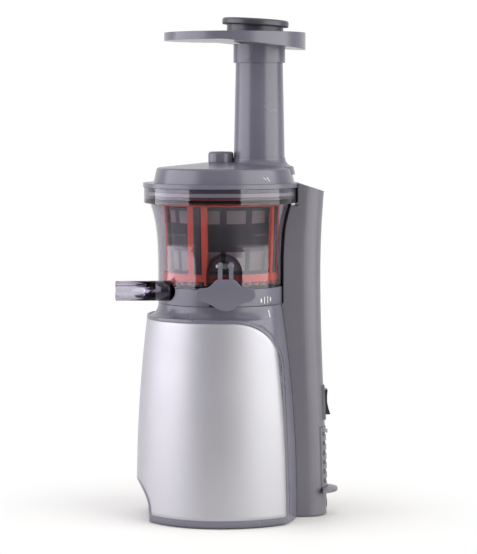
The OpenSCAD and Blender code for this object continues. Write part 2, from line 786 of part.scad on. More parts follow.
module bowl() {
    side = [for (i = [0:8]) let (z = level(ring_z1 + 0.2, band_z0, i, 8)) [bowl_side(z), z]];
    inner = [for (i = [0:8]) let (z = level(ring_z1 + 2.3, band_z0 + 1.4, i, 8)) [bowl_side(min(z, band_z0)) - bowl_wall, z]];
    color([0.72, 0.74, 0.78, 0.45]) difference() {
        union() {
            difference() {
                union() {
                    rotate_extrude() polygon(concat([[0, floor_z0], [ring_in, floor_z0], [ring_in, ring_z1 + 0.2]], side,
                        [[rim_r, band_z0], [rim_r, rim_z], [0, rim_z]]));
                    along_x(ring_in - 3, outlet_x) outlet_arch(outlet_w, ring_z1 + 0.2, outlet_z);
                    along_x(ring_in - 3, outlet_x) outlet_arch(outlet_w - 6, floor_z0, ring_z1 + 14);
                }
                rotate_extrude() polygon(concat([[0, floor_z1], [ring_in - bowl_wall, floor_z1],
                    [ring_in - bowl_wall, ring_z1 + 1.4]], inner,
                    [[rim_in, band_z0 + 4], [rim_in, rim_z + 1], [0, rim_z + 1]]));
            }
            // Raised floor with the gear pockets, and the roofed duct that leads the pulp out
            difference() {
                translate([0, 0, floor_z1 - 0.5]) cylinder(r = boss_r, h = boss_z - floor_z1 + 0.5);
                translate([0, 0, floor_z1]) cylinder(r = pocket_r, h = 60);
                translate([0, -idler_at, gear_z0 - 1]) cylinder(r = pocket_r, h = 60);
            }
            translate([pocket_r + 1, -outlet_w / 2 + 3, floor_z1 - 0.5])
                cube([ring_in - pocket_r - 2, outlet_w - 6, duct_h + roof_t + 1]);
            translate([0, -idler_at, gear_z0 - 2]) cylinder(r = 2.5, h = gear_z1 - gear_z0 + 1.5);
        }
        translate([0, 0, floor_z0 - 1]) cylinder(r = 8, h = 10);
        // Pulp duct: down through the raised floor, out under the brush ring and through the outlet
        translate([pocket_r + 3, -duct_w / 2, duct_z0]) cube([outlet_x, duct_w, duct_h]);
        translate([pocket_r + 3, -duct_w / 2, duct_z0]) cube([12, duct_w, 40]);
        along_x(bowl_r + 0.5, outlet_x - bowl_wall) outlet_arch(outlet_w - 5, ring_z1 + 3, outlet_z - 2.5);
        // The spout's bore, and the seat that its tube is bonded in
        translate([spout_x, -29, spout_z]) rotate([90, 0, 0]) cylinder(r = spout_r - 1.8, h = far);
        difference() {
            translate([spout_x, -30, spout_z]) rotate([90, 0, 0]) cylinder(r = spout_r + seam, h = far);
            cylinder(r = ring_in, h = far * 2);
        }
    }
    // Ear that holds the lever's pin
    color([0.72, 0.74, 0.78, 0.45]) difference() {
        union() {
            translate([outlet_x - 1, -ear_w / 2, hinge_z - 6]) cube([hinge_x - outlet_x + 1, ear_w, 9.5]);
            translate([hinge_x, -ear_w / 2, hinge_z]) rotate([-90, 0, 0]) cylinder(r = 3.5, h = ear_w);
        }
        translate([hinge_x, -20, hinge_z]) rotate([-90, 0, 0]) cylinder(r = 1.5, h = 40);
    }
}

module bowl_ring() {
    color("#85868c") difference() {
        tube(bowl_r - 0.3, ring_in, ring_z0, ring_z1);
        translate([0, -outlet_w / 2 + 3 - seam, 0]) cube([far, outlet_w - 6 + 2 * seam, far * 2]);
        translate([spout_x, 0, spout_z]) rotate([90, 0, 0]) cylinder(r = spout_r + seam, h = far);
    }
}

// Soft ring in the bowl's floor, round the drive shaft
module floor_seal() {
    color("#c9c7c2") tube(8, drive_r + gap, floor_z0 - 0.6, floor_z1 + 0.8);
}

module juice_spout() {
    color("#17161b") difference() {
        translate([spout_x, -30, spout_z]) rotate([90, 0, 0]) cylinder(r = spout_r, h = spout_reach - 30);
        translate([spout_x, 0, spout_z]) rotate([90, 0, 0]) cylinder(r = spout_r - 1.8, h = far);
        cylinder(r = ring_in + seam, h = far * 2);
    }
}

module lever_pin() {
    color("silver") translate([hinge_x, -fork_w / 2, hinge_z]) rotate([-90, 0, 0]) cylinder(r = 1.5, h = fork_w);
}

function strainer_side(z) = strainer_foot_r + (strainer_rim_r - strainer_foot_r) * (z - strainer_z0) / (strainer_z1 - strainer_z0);

// Angular windows in two rows
module strainer_windows() {
    for (row = [[strainer_z0 + 3.6, strainer_z0 + 20], [strainer_z1 - 14, strainer_z1 - 2.5]])
        for (i = [0:11]) rotate([0, 0, 30 * i + 15]) translate([30, -8.6, row[0]])
            cube([20, 17.2, row[1] - row[0]]);
}

module strainer_shell(outset, inset) {
    rotate_extrude() polygon([
        [strainer_side(strainer_z0) - inset, strainer_z0 + 2.4], [strainer_side(strainer_z0) + outset, strainer_z0 + 2.4],
        [strainer_side(strainer_z1) + outset, strainer_z1], [strainer_side(strainer_z1) - inset, strainer_z1]]);
}

module strainer() {
    color("#4a474e") difference() {
        union() {
            difference() {
                strainer_shell(0, strainer_t);
                strainer_windows();
            }
            tube(strainer_foot_r, auger_hub_r + 1, strainer_z0, strainer_z0 + 2.4);
            tube(strainer_foot_r + 0.1, strainer_foot_r - strainer_t, strainer_z0, strainer_z0 + 3);
        }
        translate([pocket_r + 3.4, -8.6, strainer_z0 - 1]) cube([12, 17.2, 8]);
    }
}

module strainer_mesh() {
    color("#a9a39c") intersection() {
        difference() {
            strainer_shell(-0.4, 0.8);
            translate([0, 0, -1]) cylinder(r = 5, h = 10);
        }
        strainer_windows();
    }
}

// Winged lever that closes the pulp outlet; its fork straddles the ear
module pulp_lever() {
    color("#6e7076") difference() {
        union() {
            along_x(wing_x, wing_x + wing_t) pulp_wing();
            translate([hinge_x, -fork_w / 2, hinge_z]) rotate([-90, 0, 0]) cylinder(r = 3.3, h = fork_w);
            translate([hinge_x - 1.6, -fork_w / 2, hinge_z - 12]) cube([4.6, fork_w, 12]);
        }
        translate([hinge_x, -20, hinge_z]) rotate([-90, 0, 0]) cylinder(r = 1.5 + run, h = 40);
        translate([outlet_x, -ear_w / 2 - gap, hinge_z - 9]) cube([40, ear_w + 2 * gap, 20]);
    }
}

// Front view of the lever: a neck, two rounded wings and a rounded foot
module pulp_wing() {
    hull() {
        translate([0, lever_z]) circle(r = 14, $fn = 48);
        for (s = [-1, 1]) translate([s * 20.2, lever_z + 0.6]) circle(r = 5, $fn = 32);
    }
    translate([-fork_w / 2, lever_z + 2]) square([fork_w, hinge_z - 5 - lever_z]);
}

// Silicone stopper on the inside of the lever: a pad over the duct's mouth, and a plug in it
module pulp_stopper() {
    pad_w = duct_w + 5;
    plug_w = duct_w - 1;
    plug_z0 = duct_z0 + 2;
    color("#c9c7c2") union() {
        translate([outlet_x + gap, -pad_w / 2, duct_z0 - 2])
            cube([wing_x - outlet_x - gap, pad_w, duct_h + 4.5]);
        translate([outlet_x - 2.2, -plug_w / 2, plug_z0])
            cube([gap + 2.3, plug_w, duct_z0 + duct_h - 0.5 - plug_z0]);
    }
}

// Two tapered flights wound round the auger's core
function flight_point(a0, t, k) = let (
    z = auger_z0 + 3 + (auger_z1 - 12 - auger_z0) * t,
    r_in = 17 - 5 * t,
    r_out = min(auger_r, 22 + 60 * t),
    a = a0 + 360 * flight_turns * t,
    r = k < 2 ? r_in : r_out * (1 - 0.25 * max(0, t - 0.85) / 0.15),
    dz = k == 0 ? -3 : k == 1 ? 3 : k == 2 ? 1.2 : -1.2)
    [r * cos(a), r * sin(a), z + dz];

module flight(a0) {
    n = 40;
    polyhedron(
        points = [for (i = [0:n]) for (k = [0:3]) flight_point(a0, i / n, k)],
        faces = concat([[0, 1, 2, 3]],
            [for (i = [0:n - 1]) for (k = [0:3]) [4 * i + (k + 1) % 4, 4 * i + k, 4 * i + 4 + k]],
            [for (i = [0:n - 1]) for (k = [0:3]) [4 * i + (k + 1) % 4, 4 * i + 4 + k, 4 * i + 4 + (k + 1) % 4]],
            [[4 * n + 3, 4 * n + 2, 4 * n + 1, 4 * n]]));
}

module auger() {
    color("#4b3f3a") difference() {
        union() {
            rotate_extrude() polygon([[0, auger_z0], [37, auger_z0], [37, auger_z0 + 2], [24, auger_z0 + 18],
                [20, auger_z0 + 34], [14, auger_z1 - 6], [10, auger_z1], [0, auger_z1]]);
            flight(0);
            flight(180);
            translate([0, 0, auger_z1 - 1]) cylinder(r = auger_pin_r, h = auger_pin_z - auger_z1 + 1);
            translate([0, 0, floor_z1 + 1.5]) cylinder(r = auger_hub_r, h = auger_z0 - floor_z1);
        }
        translate([0, 0, floor_z1]) cylinder(r = drive_r + 0.35, h = shaft_z1 + 2 - floor_z1, $fn = 6);
    }
}

module auger_gear() {
    color("#d8d4c8") translate([0, 0, gear_z0])
        spur_points(sun_teeth, sun_m, gear_z1 - gear_z0, auger_hub_r);
}

module brush_idler() {
    color("#d8d4c8") translate([0, -idler_at, gear_z0])
        spur_points(sun_teeth, sun_m, gear_z1 - gear_z0, 2.5 + run, 90 + 180 / sun_teeth);
}

module brush_frame() {
    color("#c8553c") union() {
        // Lower ring with teeth on its inside, and the scallops under it
        translate([0, 0, brush_z0]) linear_extrude(brush_z1 - brush_z0 - 2) difference() {
            circle(r = brush_r);
            ring_gap();
        }
        tube(brush_r, ring_r + 2.4, brush_z1 - 2.1, brush_z1);
        for (i = [0:39]) rotate([0, 0, 9 * i]) translate([brush_r - 1.7, 0, brush_z0 - scallop_h]) cylinder(r = 1.2, h = scallop_h + 0.2, $fn = 24);
        tube(brush_top_r, brush_top_r - 3, brush_top_z - brush_top_h, brush_top_z);
        for (a = [0:90:270], s = [-1, 1]) rotate([0, 0, a + post_turn]) translate([0, s * post_at, 0]) brush_post();
    }
}

// Space between the teeth of the lower ring
module ring_gap() {
    step = 360 / ring_teeth;
    r_tip = sun_m * (ring_teeth / 2 - 0.9);
    r_root = sun_m * (ring_teeth / 2 + 1.2);
    polygon([for (i = [0:ring_teeth - 1]) for (k = [[r_tip, -0.38], [r_root, -0.16], [r_root, 0.16], [r_tip, 0.38]])
        [k[0] * cos(step * (i + 0.5 + k[1])), k[0] * sin(step * (i + 0.5 + k[1]))]]);
}

// One slim post, leaning out from the lower ring to the upper one
module brush_post() {
    rotate([90, 0, 0]) translate([0, 0, -post_w / 2]) linear_extrude(post_w) polygon([
        [brush_r - 3.4, brush_z1 - 1], [brush_r - 1.2, brush_z1 - 1],
        [brush_top_r - 1.1, brush_top_z - brush_top_h + 1], [brush_top_r - 3.3, brush_top_z - brush_top_h + 1]]);
}

module wiper_blades() {
    color("#3b3640") for (a = [0:90:270]) rotate([0, 0, a + post_turn]) rotate([90, 0, 0])
        translate([0, 0, -wiper_w / 2]) linear_extrude(wiper_w) polygon([
            [brush_r - 4, brush_z1 + 0.2], [brush_r - 0.4, brush_z1 + 0.2],
            [brush_top_r - 0.4, brush_top_z - brush_top_h - 0.2], [brush_top_r - 5, brush_top_z - brush_top_h - 0.2]]);
}

module lid_seal() {
    color("#cfccc6") tube(rim_in - gap, rim_in - 2.6, skirt_z + 2, skirt_z + 5);
}

module lid() {
    color("#7b7c82") difference() {
        union() {
            tube(flange_r, 30, flange_z0, flange_z1);
            translate([0, drum_y, 0]) rotate_extrude() polygon(concat([[30, flange_z1 - 1], [drum_r + 2.8, flange_z1 - 1]],
                [for (i = [0:4]) let (t = 22.5 * i) [drum_r - 2.2 + 2.4 * cos(t), drum_z - 2.2 + 2.2 * sin(t)]],
                [[12, drum_z + 4.6], [0, drum_z + 4.6], [0, drum_z]]));
            rotate_extrude() polygon([[rim_in - 4.9, skirt_z], [rim_in - 0.5, skirt_z], [rim_in - 0.5, skirt_z + 1.7],
                [rim_in - 2.9, skirt_z + 1.7], [rim_in - 2.9, skirt_z + 5.3], [rim_in - 0.5, skirt_z + 5.3],
                [rim_in - 0.5, flange_z0 + 0.1], [rim_in - 4.9, flange_z0 + 0.1]]);
            translate([0, tube_y, 0]) rotate_extrude() polygon(concat([[0, drum_z - 6], [boot_r + 2, drum_z - 6]],
                [for (i = [0:6]) let (t = 15 * i) [tube_foot_r + 0.4 + (boot_r - tube_foot_r) * (1 - sin(t)),
                    tube_z0 + 5.5 - 7.5 * cos(t)]], [[0, tube_z0 + 5.5]]));
            translate([0, 0, auger_z1 + 4]) cylinder(r = 10, h = drum_z + 2 - auger_z1 - 4);
        }
        rotate_extrude() polygon([[10, skirt_z - 1], [rim_in - 6.5, skirt_z - 1], [rim_in - 6.5, flange_z1],
            [drum_r - 6, drum_z0], [drum_r - 7, drum_z - 3], [10, drum_z + 1]]);
        translate([0, tube_y, drum_z - 40]) cylinder(r = tube_bore_r, h = 60);
        translate([0, tube_y, tube_z0]) cylinder(r = tube_foot_r, h = 20);
        translate([0, 0, auger_z1]) cylinder(r = 6.5, h = 14);
        translate([0, 0, drum_z + 4.6]) cylinder(r = 11.5, h = 20);
    }
}

module feed_tube() {
    color("#7b7c82") translate([0, tube_y, 0]) difference() {
        union() {
            translate([0, 0, tube_z0]) cylinder(r1 = tube_foot_r, r2 = tube_top_r, h = sleeve_z0 - tube_z0);
            translate([0, 0, sleeve_z0 - 0.1]) cylinder(r = tube_top_r, h = tube_z - sleeve_z0 + 0.1);
        }
        translate([0, 0, tube_z0 - 1]) cylinder(r = tube_bore_r, h = far);
    }
}

module lid_knob() {
    color("#77787e") translate([0, 0, drum_z + 4.6]) rotate_extrude()
        polygon(concat([[0, 0], [10.9, 0], [10.9, 6.6]],
            [for (i = [1:4]) [8.5 + 2.4 * cos(22.5 * i), 6.6 + 2.4 * sin(22.5 * i)]], [[0, 9.4]]));
}

module lid_bush() {
    color("#d8d4c8") tube(6.5, auger_pin_r + run, auger_z1 + 4, auger_z1 + 13);
}

// Everything above the tray's underside, raised by lift: level in front of the axis, sloping behind it
module above_slope(lift) {
    translate([-far, 0, pan_z + lift]) rotate([90, 0, 90]) linear_extrude(2 * far)
        polygon([[-far, 60], [-far, 0], [0, 0], [far, -far * tan(tray_slope)], [far, 60]]);
}

module tray() {
    color("#7b7c82") difference() {
        union() {
            intersection() {
                translate([0, tray_y, tube_z - 10]) cylinder(r = tray_r, h = tray_z1 - tube_z + 10);
                above_slope(0);
            }
            translate([0, tube_y, 0]) cylinder(r = tube_top_r + 2, h = tube_z + 6);
        }
        intersection() {
            translate([0, tray_y, tube_z - 10]) cylinder(r = tray_r - 2, h = 60);
            above_slope(pan_t);
        }
        translate([0, tube_y, -1]) cylinder(r = tube_top_r + gap, h = tube_z + 1 + gap);
        translate([0, tube_y, -1]) cylinder(r = tube_bore_r, h = far * 3);
        translate([-far, -far, -1]) cube([2 * far, 2 * far, sleeve_z0 + 1]);
    }
}

module pusher_cap() {
    color("#5d5e64") intersection() {
        above_slope(pan_t + gap);
        translate([0, tube_y - cap_shift, cap_z]) rotate([-cap_slope, 0, 0]) cap_form();
    }
}

module cap_form() {
    rotate_extrude() polygon(concat([[0, 0], [cap_r - 0.6, 0], [cap_r, 0.8], [cap_r, cap_h - 2]],
        [for (i = [1:4]) [cap_r - 2 + 2 * cos(22.5 * i), cap_h - 2 + 2 * sin(22.5 * i)]], [[0, cap_h]]));
    translate([0, 0, -20]) cylinder(r = 24.2, h = 20.1);
}

// Rod of the pusher, ending inside the tube; its top stops at the cap's neck
module pusher_rod() {
    color("#85868c") difference() {
        translate([0, tube_y, rod_z0]) cylinder(r = rod_r, h = cap_z - rod_z0);
        above_slope(pan_t + gap);
    }
}

base_plate();
foot_ring();
base_screws();
front_housing();
silver_panel();
rear_column();
vent_cover();
vent_screw();
switch_bezel();
switch_body();
rocker();
cord_guard();
cord_inlet();
run_capacitor();
motor_mounts();
lower_bracket();
stator_core();
stator_windings();
motor_bolts();
motor_bushes();
gearbox_case();
gearbox_cover();
gearbox_screws();
wheel_pin();
output_bushes();
shaft_seal();
rotor_core();
motor_shaft();
cooling_fan();
motor_pinion();
step_wheel();
output_gear();
drive_shaft();
bowl();
bowl_ring();
floor_seal();
juice_spout();
lever_pin();
strainer();
strainer_mesh();
pulp_lever();
pulp_stopper();
auger();
auger_gear();
brush_idler();
brush_frame();
wiper_blades();
lid_seal();
lid();
feed_tube();
lid_knob();
lid_bush();
tray();
pusher_cap();
pusher_rod();
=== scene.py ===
"""Looks of the slow juicer: camera, lights, finishes and the surfaces that the CAD leaves plain."""
import json
import math

import bpy
import numpy as np
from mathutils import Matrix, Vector


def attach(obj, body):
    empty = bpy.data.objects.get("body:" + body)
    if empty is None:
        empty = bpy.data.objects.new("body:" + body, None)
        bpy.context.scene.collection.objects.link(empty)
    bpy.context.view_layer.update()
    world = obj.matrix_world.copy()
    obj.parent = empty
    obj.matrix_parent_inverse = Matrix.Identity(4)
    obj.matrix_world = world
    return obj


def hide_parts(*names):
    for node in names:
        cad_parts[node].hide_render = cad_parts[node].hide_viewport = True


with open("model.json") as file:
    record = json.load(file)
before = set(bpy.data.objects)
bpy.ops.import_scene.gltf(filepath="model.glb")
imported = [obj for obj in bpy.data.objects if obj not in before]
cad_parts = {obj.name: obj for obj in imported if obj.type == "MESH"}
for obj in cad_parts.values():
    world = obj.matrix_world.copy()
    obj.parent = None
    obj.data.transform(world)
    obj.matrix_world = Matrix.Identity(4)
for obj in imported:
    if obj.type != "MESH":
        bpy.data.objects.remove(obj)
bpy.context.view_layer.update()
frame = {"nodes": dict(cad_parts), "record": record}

# The photograph's camera, in metres, radians and pixels
CAMERA_DISTANCE = 1.920
CAMERA_HEIGHT = 0.3516
CAMERA_PITCH = 0.0752
CAMERA_SIDE = 87
CAMERA_AZIMUTH = math.radians(CAMERA_SIDE)
# Height at which the camera's column of the bowl's axis is set
AIM_HEIGHT = 0.2
FOCAL_PX = 2231.0
PHOTO_W, PHOTO_H = 477, 554
AXIS_PX = 221.0
SENSOR_MM = 36.0

WHITE = (1.0, 1.0, 1.0, 1.0)
# Brightness of the room level with the object, of its ceiling and of the soft boxes, where 1 is white
ROOM_GLOW = 0.10
CEILING_GLOW = 0.80
BOX_GLOW = 3.8
# Share of the room's light that reaches a ray out of clear plastic
INNER_SHARE = 0.15
COOL = (0.94, 0.92, 1.0)
# Radius at which moulded edges catch the light
EDGE_RADIUS = 0.0006


def make_camera():
    """Camera on the +X side, tilted down by the pitch, with the bowl's axis at the photo's column."""
    to_camera = Vector((math.sin(CAMERA_AZIMUTH), -math.cos(CAMERA_AZIMUTH), 0))
    right = Vector((math.cos(CAMERA_AZIMUTH), math.sin(CAMERA_AZIMUTH), 0))
    depth = CAMERA_DISTANCE * math.cos(CAMERA_PITCH) + (CAMERA_HEIGHT - AIM_HEIGHT) * math.sin(CAMERA_PITCH)
    sideways = (PHOTO_W / 2 - AXIS_PX) / FOCAL_PX * depth
    data = bpy.data.cameras.new("photo_camera")
    data.sensor_fit = "VERTICAL"
    data.sensor_height = SENSOR_MM
    data.lens = SENSOR_MM * FOCAL_PX / PHOTO_H
    data.clip_start, data.clip_end = 0.1, 30
    camera = bpy.data.objects.new("photo_camera", data)
    camera.location = to_camera * CAMERA_DISTANCE + right * sideways + Vector((0, 0, CAMERA_HEIGHT))
    camera.rotation_euler = (math.pi / 2 - CAMERA_PITCH, 0, CAMERA_AZIMUTH)
    bpy.context.collection.objects.link(camera)
    bpy.context.scene.camera = camera


class Nodes:
    """A short way to write a node tree: each node is added with its values and links."""

    def __init__(self, tree):
        self.tree = tree
        tree.nodes.clear()

    def add(self, kind, values=None, **settings):
        node = self.tree.nodes.new(kind)
        for name, value in settings.items():
            setattr(node, name, value)
        for name, value in (values or {}).items():
            socket = node.inputs[name]
            if isinstance(value, bpy.types.NodeSocket):
                self.tree.links.new(value, socket)
            else:
                socket.default_value = value
        return node

    def math(self, operation, *values):
        return self.add("ShaderNodeMath", dict(enumerate(values)), operation=operation).outputs[0]


def seen_directly(n, behind):
    """1 for rays from the camera, straight through clear plastic, or reflected from what lies behind."""
    rays = n.add("ShaderNodeLightPath")
    straight = n.math("LESS_THAN", rays.outputs["Glossy Depth"], 0.5)
    through = n.math("MULTIPLY", rays.outputs["Is Transmission Ray"], straight)
    clear = n.math("MAXIMUM", rays.outputs["Is Camera Ray"], through)
    mirror = n.math("MULTIPLY", rays.outputs["Is Glossy Ray"], behind)
    return n.math("MAXIMUM", clear, mirror)


def make_world():
    """White behind the object, and a dim room with a brighter ceiling whose light falls on it."""
    world = bpy.data.worlds.new("studio")
    bpy.context.scene.world = world
    world.use_nodes = True
    n = Nodes(world.node_tree)
    up = n.add("ShaderNodeSeparateXYZ", {0: n.add("ShaderNodeTexCoord").outputs["Generated"]})
    glow = n.add("ShaderNodeMapRange", {
        "Value": up.outputs["Z"], "From Min": 0.05, "From Max": 0.75,
        "To Min": ROOM_GLOW, "To Max": CEILING_GLOW}, interpolation_type="SMOOTHSTEP")
    inner = n.add("ShaderNodeLightPath").outputs["Is Transmission Ray"]
    dim = n.add("ShaderNodeMapRange", {"Value": inner, "To Min": 1.0, "To Max": INNER_SHARE})
    light = n.math("MULTIPLY", glow.outputs["Result"], dim.outputs["Result"])
    room = n.add("ShaderNodeBackground", {"Color": (*COOL, 1), "Strength": light})
    white = n.add("ShaderNodeBackground", {"Color": WHITE, "Strength": 1.0})
    behind = n.add("ShaderNodeMapRange", {"Value": up.outputs["X"], "From Min": -0.35, "From Max": -0.85},
                   interpolation_type="SMOOTHSTEP")
    seen = seen_directly(n, behind.outputs["Result"])
    mix = n.add("ShaderNodeMixShader", {0: seen, 1: room.outputs[0], 2: white.outputs[0]})
    n.add("ShaderNodeOutputWorld", {"Surface": mix.outputs[0]})


def make_lamp(name, azimuth, distance, height, width, tall, glow, tilt=0.0, colour=(1, 1, 1)):
    """A soft rectangular lamp that faces the bowl's axis, its azimuth measured as the camera's is."""
    data = bpy.data.lights.new(name, "AREA")
    data.shape = "RECTANGLE"
    data.size, data.size_y = width, tall
    data.energy = glow * math.pi * width * tall
    data.color = colour
    lamp = bpy.data.objects.new(name, data)
    a = math.radians(azimuth)
    lamp.location = (math.sin(a) * distance, -math.cos(a) * distance, height)
    lamp.rotation_euler = (math.pi / 2 - tilt, 0, a)
    bpy.context.collection.objects.link(lamp)


def make_floor():
    """A wide pale floor that keeps the object's shadow and melts into the white behind.

    It runs from the lit floor to plain white with the distance from the object, as smoothstep does.
    Its colour darkens further out as painted shade, standing in for the weaker light out where only the
    room's light reaches it.
    """
    size = 12.0
    mesh = bpy.data.meshes.new("floor")
    corners = [(-size, -size, 0), (size, -size, 0), (size, size, 0), (-size, size, 0)]
    mesh.from_pydata(corners, [], [(0, 1, 2, 3)])
    floor = bpy.data.objects.new("floor", mesh)
    bpy.context.collection.objects.link(floor)
    material = bpy.data.materials.new("floor_white")
    material.use_nodes = True
    n = Nodes(material.node_tree)
    place = n.add("ShaderNodeTexCoord").outputs["Object"]
    away = n.add("ShaderNodeVectorMath", {0: place}, operation="LENGTH")
    far = n.add("ShaderNodeMapRange", {"Value": away.outputs["Value"], "From Min": 0.10, "From Max": 0.26},
                interpolation_type="SMOOTHSTEP")
    at = n.add("ShaderNodeSeparateXYZ", {0: place})
    behind = n.add("ShaderNodeMapRange", {"Value": at.outputs["X"], "From Min": -0.2, "From Max": -0.6})
    seen = seen_directly(n, behind.outputs["Result"])
    shown = n.math("MULTIPLY", far.outputs["Result"], seen)
    # Painted shade: the floor's colour is made darker from 0.3 m out to 0.8 m, for the weaker light there.
    shade_fade = n.add("ShaderNodeMapRange", {"Value": away.outputs["Value"], "From Min": 0.3, "From Max": 0.8})
    floor_shade_ramp = n.add("ShaderNodeValToRGB", {"Fac": shade_fade.outputs["Result"]})
    near_tone, painted_shade_tone = floor_shade_ramp.color_ramp.elements
    near_tone.color, painted_shade_tone.color = (0.88, 0.88, 0.815, 1), (0.30, 0.30, 0.28, 1)
    lit = n.add("ShaderNodeBsdfPrincipled", {"Base Color": floor_shade_ramp.outputs["Color"], "Roughness": 0.6})
    white = n.add("ShaderNodeEmission", {"Color": WHITE, "Strength": 1.0})
    mix = n.add("ShaderNodeMixShader", {0: shown, 1: lit.outputs[0], 2: white.outputs[0]})
    n.add("ShaderNodeOutputMaterial", {"Surface": mix.outputs[0]})
    mesh.materials.append(material)


def plastic(name, colour, roughness, grain=0.05, grain_mm=0.35, mottle=0.04, metallic=0.0):
    """Moulded finish: fine grain as bump, and a little variation of colour and gloss over the surface."""
    material = bpy.data.materials.new(name)
    material.use_nodes = True
    n = Nodes(material.node_tree)
    place = n.add("ShaderNodeTexCoord").outputs["Object"]
    fine = n.add("ShaderNodeTexNoise", {"Vector": place, "Scale": 1000 / grain_mm, "Detail": 2.0})
    broad = n.add("ShaderNodeTexNoise", {"Vector": place, "Scale": 22.0, "Detail": 4.0})
    soft_edges = n.add("ShaderNodeBevel", {"Radius": EDGE_RADIUS}, samples=4)
    bump = n.add("ShaderNodeBump", {
        "Height": fine.outputs["Fac"], "Strength": grain, "Distance": 0.0002,
        "Normal": soft_edges.outputs["Normal"]})
    low = [c * (1 - mottle) for c in colour] + [1]
    high = [min(1, c * (1 + mottle)) for c in colour] + [1]
    ramp = n.add("ShaderNodeValToRGB", {"Fac": broad.outputs["Fac"]})
    first, last = ramp.color_ramp.elements
    first.position, last.position = 0.35, 0.65
    first.color, last.color = low, high
    gloss = n.add("ShaderNodeMapRange", {"Value": broad.outputs["Fac"], "From Min": 0.3, "From Max": 0.7,
                                         "To Min": roughness * 0.92, "To Max": roughness * 1.08})
    shader = n.add("ShaderNodeBsdfPrincipled", {
        "Base Color": ramp.outputs["Color"], "Roughness": gloss.outputs["Result"], "Metallic": metallic,
        "Normal": bump.outputs["Normal"]})
    n.add("ShaderNodeOutputMaterial", {"Surface": shader.outputs[0]})
    return material


def clear_plastic(name, colour, wall_mm, through):
    """Clear tinted plastic that darkens with its thickness: wall_mm of it lets the given share through."""
    material = bpy.data.materials.new(name)
    material.use_nodes = True
    n = Nodes(material.node_tree)
    rays = n.add("ShaderNodeLightPath")
    place = n.add("ShaderNodeTexCoord").outputs["Object"]
    flow = n.add("ShaderNodeTexNoise", {"Vector": place, "Scale": 60.0, "Detail": 1.0})
    bump = n.add("ShaderNodeBump", {"Height": flow.outputs["Fac"], "Strength": 0.03, "Distance": 0.0005})
    glass = n.add("ShaderNodeBsdfPrincipled", {
        "Base Color": WHITE, "Roughness": 0.02, "Transmission Weight": 1.0, "IOR": 1.49,
        "Normal": bump.outputs["Normal"]})
    lamp_light = n.add("ShaderNodeBsdfTransparent", {"Color": WHITE})
    mix = n.add("ShaderNodeMixShader", {
        0: rays.outputs["Is Shadow Ray"], 1: glass.outputs[0], 2: lamp_light.outputs[0]})
    density = -math.log(through) / (wall_mm / 1000) / (1 - sum(colour) / 3)
    tint = n.add("ShaderNodeVolumeAbsorption", {"Color": (*colour, 1), "Density": density})
    n.add("ShaderNodeOutputMaterial", {"Surface": mix.outputs[0], "Volume": tint.outputs[0]})
    return material


def woven_mesh(name, colour, pitch_mm, radius_mm=42):
    """Woven wire round the vertical axis: waves round the axis and waves up it, with painted shade that
    darkens the wires towards their sides and the gaps between them.
    """
    material = bpy.data.materials.new(name)
    material.use_nodes = True
    n = Nodes(material.node_tree)
    at = n.add("ShaderNodeSeparateXYZ", {0: n.add("ShaderNodeTexCoord").outputs["Object"]})
    turn = n.math("ARCTAN2", at.outputs["Y"], at.outputs["X"])
    waves = [n.math("SINE", n.math("MULTIPLY", source, scale * math.tau))
             for source, scale in ((turn, radius_mm / pitch_mm), (at.outputs["Z"], 1000 / pitch_mm))]
    height = n.math("MAXIMUM", *waves)
    # Painted shade: the colour falls from the wire's crown to a third of it in the gaps between wires.
    shade = n.add("ShaderNodeValToRGB", {"Fac": height})
    shaded_gap, wire = shade.color_ramp.elements
    shaded_gap.position, wire.position = 0.0, 0.6
    shaded_gap.color, wire.color = [c * 0.35 for c in colour] + [1], list(colour) + [1]
    bump = n.add("ShaderNodeBump", {"Height": height, "Strength": 0.4, "Distance": 0.0002})
    shader = n.add("ShaderNodeBsdfPrincipled", {
        "Base Color": shade.outputs["Color"], "Roughness": 0.45, "Metallic": 0.3,
        "Normal": bump.outputs["Normal"]})
    n.add("ShaderNodeOutputMaterial", {"Surface": shader.outputs[0]})
    return material


def metal(name, colour, roughness, brushed=False):
    """Machined or cast metal, with fine turning marks along Z where it is brushed."""
    material = bpy.data.materials.new(name)
    material.use_nodes = True
    n = Nodes(material.node_tree)
    place = n.add("ShaderNodeTexCoord").outputs["Object"]
    scale = (60, 60, 1500) if brushed else (900, 900, 900)
    stretch = n.add("ShaderNodeMapping", {"Vector": place, "Scale": scale})
    marks = n.add("ShaderNodeTexNoise", {"Vector": stretch.outputs[0], "Scale": 1.0, "Detail": 3.0})
    bump = n.add("ShaderNodeBump", {"Height": marks.outputs["Fac"], "Strength": 0.12, "Distance": 0.0001})
    gloss = n.add("ShaderNodeMapRange", {"Value": marks.outputs["Fac"], "From Min": 0.3, "From Max": 0.7,
                                         "To Min": roughness * 0.8, "To Max": roughness * 1.25})
    shader = n.add("ShaderNodeBsdfPrincipled", {
        "Base Color": (*colour, 1), "Roughness": gloss.outputs["Result"], "Metallic": 1.0,
        "Normal": bump.outputs["Normal"]})
    n.add("ShaderNodeOutputMaterial", {"Surface": shader.outputs[0]})
    return material


